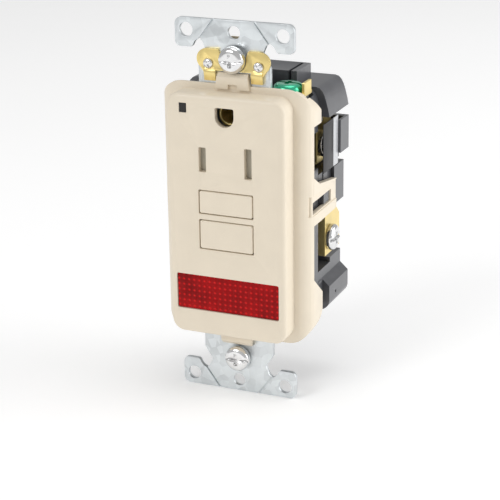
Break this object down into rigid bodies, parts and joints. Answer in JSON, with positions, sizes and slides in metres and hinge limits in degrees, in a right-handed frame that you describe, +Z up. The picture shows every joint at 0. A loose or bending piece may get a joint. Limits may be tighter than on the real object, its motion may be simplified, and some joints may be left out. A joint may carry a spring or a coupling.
{
  "type": "gfci outlet",
  "caption": "Ground-fault receptacle on a mounting strap, with test and reset buttons, a status light and a wide pilot light.",
  "frame": {"origin": "centre of the mounting strap's rear face, the plane that rests on the wall box", "axes": "+X right seen from the front, +Z up with the ground hole on top, front faces -Y"},
  "size_m": [0.043, 0.0355, 0.1032],
  "materials": {
    "ivory_plastic": "satin moulded ivory",
    "black_plastic": "satin moulded black",
    "load_tape": "glossy grey tape",
    "zinc_steel": "zinc plated, faint spangle",
    "plated_steel": "bright plated steel",
    "mechanism_steel": "plain steel",
    "spring_steel": "drawn wire",
    "brass": "stamped brass",
    "brass_screw": "turned brass",
    "copper": "copper alloy",
    "green_screw": "green dyed plated steel",
    "red_lens": "clear red, prism pattern behind",
    "clear_guide": "smoked light guide",
    "white_plastic": "white",
    "lamp_glass": "lamp glass",
    "shutter_plastic": "grey",
    "nylon": "natural nylon",
    "fibre": "pressed fibre",
    "board": "green circuit board",
    "ferrite": "coated core",
    "blue_coating": "dipped",
    "capacitor_red": "dipped",
    "chip_black": "moulded"
  },
  "bodies": {
    "housing": {"face_cover": "ivory_plastic", "mounting_strap": "zinc_steel", "middle_housing": "black_plastic", "rear_housing": "black_plastic", "pilot_lens": "red_lens", "pilot_reflector": "white_plastic", "pilot_lamp": "lamp_glass", "status_light_pipe": "clear_guide", "status_led": "white_plastic", "shutter_frame": "chip_black", "hot_contact": "brass", "neutral_contact": "brass", "ground_contact": "brass", "line_neutral_terminal": "brass", "line_hot_terminal": "brass", "load_neutral_terminal": "brass", "load_hot_terminal": "brass", "load_neutral_tape": "load_tape", "load_hot_tape": "load_tape", "self_grounding_clip": "brass", "clip_rivet_right": "brass", "clip_rivet_left": "brass", "circuit_board": "board", "sense_transformer": "ferrite", "grounded_neutral_transformer": "ferrite", "transformer_boat": "nylon", "solenoid_bobbin": "nylon", "solenoid_coil": "copper", "varistor": "blue_coating", "capacitor": "capacitor_red", "control_chip": "chip_black", "thyristor": "chip_black", "reset_spring": "spring_steel", "shutter_spring": "spring_steel", "plunger_spring": "spring_steel"},
    "test_button_body": {"test_button": "ivory_plastic"},
    "test_blade_body": {"test_contact_blade": "brass"},
    "reset_body": {"reset_button": "ivory_plastic", "reset_pin": "mechanism_steel"},
    "lifter_body": {"contact_lifter": "white_plastic"},
    "latch_body": {"latch_plate": "mechanism_steel"},
    "hot_arm_body": {"hot_contact_arm": "copper"},
    "neutral_arm_body": {"neutral_contact_arm": "copper"},
    "plunger_body": {"solenoid_plunger": "mechanism_steel"},
    "left_shutter_body": {"left_shutter": "shutter_plastic"},
    "right_shutter_body": {"right_shutter": "shutter_plastic"},
    "ground_clamp_body": {"ground_clamp": "brass"},
    "ground_screw_body": {"ground_screw": "green_screw"},
    "top_washer_body": {"screw_washer_top": "fibre"},
    "top_screw_body": {"mounting_screw_top": "plated_steel"},
    "bottom_washer_body": {"screw_washer_bottom": "fibre"},
    "bottom_screw_body": {"mounting_screw_bottom": "plated_steel"},
    "line_neutral_clamp_body": {"line_neutral_clamp": "brass"},
    "line_neutral_screw_body": {"line_neutral_screw": "plated_steel"},
    "line_hot_clamp_body": {"line_hot_clamp": "brass"},
    "line_hot_screw_body": {"line_hot_screw": "brass_screw"},
    "load_neutral_clamp_body": {"load_neutral_clamp": "brass"},
    "load_neutral_screw_body": {"load_neutral_screw": "plated_steel"},
    "load_hot_clamp_body": {"load_hot_clamp": "brass"},
    "load_hot_screw_body": {"load_hot_screw": "brass_screw"}
  },
  "joints": [
    {"name": "test_press", "type": "slide", "parent": "housing", "child": "test_button_body", "axis": [0, 1, 0], "range_m": [0, 0.0012]},
    {"name": "test_blade_flex", "type": "hinge", "parent": "housing", "child": "test_blade_body", "pos_m": [-0.0084, 0.0009, 0.0043], "axis": [0, 0, 1], "range_deg": [0, 7.2]},
    {"name": "reset_press", "type": "slide", "parent": "housing", "child": "reset_body", "axis": [0, 1, 0], "range_m": [-0.0009, 0.0014], "deforming": ["reset_spring"]},
    {"name": "contact_lift", "type": "slide", "parent": "housing", "child": "lifter_body", "axis": [0, 1, 0], "range_m": [0, 0.0015]},
    {"name": "hot_arm_flex", "type": "hinge", "parent": "housing", "child": "hot_arm_body", "pos_m": [0, 0.01115, -0.019], "axis": [-1, 0, 0], "range_deg": [0, 4.1]},
    {"name": "neutral_arm_flex", "type": "hinge", "parent": "housing", "child": "neutral_arm_body", "pos_m": [0, 0.01115, -0.019], "axis": [-1, 0, 0], "range_deg": [0, 4.1]},
    {"name": "plunger_stroke", "type": "slide", "parent": "housing", "child": "plunger_body", "axis": [0, 0, 1], "range_m": [0, 0.0015], "deforming": ["plunger_spring"]},
    {"name": "latch_slide", "type": "slide", "parent": "lifter_body", "child": "latch_body", "axis": [0, 0, 1], "range_m": [0, 0.0015]},
    {"name": "left_shutter_slide", "type": "slide", "parent": "housing", "child": "left_shutter_body", "axis": [1, 0, 0], "range_m": [0, 0.0036], "deforming": ["shutter_spring"]},
    {"name": "right_shutter_slide", "type": "slide", "parent": "housing", "child": "right_shutter_body", "axis": [-1, 0, 0], "range_m": [0, 0.0036]},
    {"name": "line_neutral_clamp_slide", "type": "slide", "parent": "housing", "child": "line_neutral_clamp_body", "axis": [1, 0, 0], "range_m": [-0.0024, 0]},
    {"name": "line_neutral_screw_turn", "type": "hinge", "parent": "line_neutral_clamp_body", "child": "line_neutral_screw_body", "pos_m": [0.0195, 0.0175, -0.0104], "axis": [1, 0, 0], "range_deg": [-1089, 0]},
    {"name": "line_hot_clamp_slide", "type": "slide", "parent": "housing", "child": "line_hot_clamp_body", "axis": [-1, 0, 0], "range_m": [-0.0024, 0]},
    {"name": "line_hot_screw_turn", "type": "hinge", "parent": "line_hot_clamp_body", "child": "line_hot_screw_body", "pos_m": [-0.0195, 0.0175, -0.0104], "axis": [-1, 0, 0], "range_deg": [-1089, 0]},
    {"name": "load_neutral_clamp_slide", "type": "slide", "parent": "housing", "child": "load_neutral_clamp_body", "axis": [1, 0, 0], "range_m": [0, 0.0011]},
    {"name": "load_neutral_screw_turn", "type": "hinge", "parent": "load_neutral_clamp_body", "child": "load_neutral_screw_body", "pos_m": [0.0195, 0.0175, 0.0159], "axis": [1, 0, 0], "range_deg": [0, 499]},
    {"name": "load_hot_clamp_slide", "type": "slide", "parent": "housing", "child": "load_hot_clamp_body", "axis": [-1, 0, 0], "range_m": [0, 0.0011]},
    {"name": "load_hot_screw_turn", "type": "hinge", "parent": "load_hot_clamp_body", "child": "load_hot_screw_body", "pos_m": [-0.0195, 0.0175, 0.0159], "axis": [-1, 0, 0], "range_deg": [0, 499]},
    {"name": "ground_clamp_slide", "type": "slide", "parent": "housing", "child": "ground_clamp_body", "axis": [0, 0, 1], "range_m": [0, 0.0024]},
    {"name": "ground_screw_turn", "type": "hinge", "parent": "ground_clamp_body", "child": "ground_screw_body", "pos_m": [0.0125, 0.005, 0.0328], "axis": [0, 0, 1], "range_deg": [0, 1089]},
    {"name": "top_screw_slide", "type": "slide", "parent": "housing", "child": "top_washer_body", "axis": [0, 1, 0], "range_m": [-0.006, 0]},
    {"name": "top_screw_turn", "type": "hinge", "parent": "top_washer_body", "child": "top_screw_body", "pos_m": [0, 0, 0.04165], "axis": [0, 1, 0], "continuous": true},
    {"name": "bottom_screw_slide", "type": "slide", "parent": "housing", "child": "bottom_washer_body", "axis": [0, 1, 0], "range_m": [-0.006, 0]},
    {"name": "bottom_screw_turn", "type": "hinge", "parent": "bottom_washer_body", "child": "bottom_screw_body", "pos_m": [0, 0, -0.04165], "axis": [0, 1, 0], "continuous": true}
  ],
  "couplings": [
    {"joint": "test_blade_flex", "follows": "test_press", "rad_per_m": 104},
    {"joint": "hot_arm_flex", "follows": "contact_lift", "rad_per_m": 46.5},
    {"joint": "neutral_arm_flex", "follows": "contact_lift", "rad_per_m": 46.5},
    {"joint": "latch_slide", "follows": "plunger_stroke", "ratio": 1},
    {"joint": "right_shutter_slide", "follows": "left_shutter_slide", "ratio": 1},
    {"joint": "line_neutral_screw_turn", "follows": "line_neutral_clamp_slide", "rad_per_m": 7915.8},
    {"joint": "line_hot_screw_turn", "follows": "line_hot_clamp_slide", "rad_per_m": 7915.8},
    {"joint": "load_neutral_screw_turn", "follows": "load_neutral_clamp_slide", "rad_per_m": 7915.8},
    {"joint": "load_hot_screw_turn", "follows": "load_hot_clamp_slide", "rad_per_m": 7915.8},
    {"joint": "ground_screw_turn", "follows": "ground_clamp_slide", "rad_per_m": 7915.8}
  ]
}
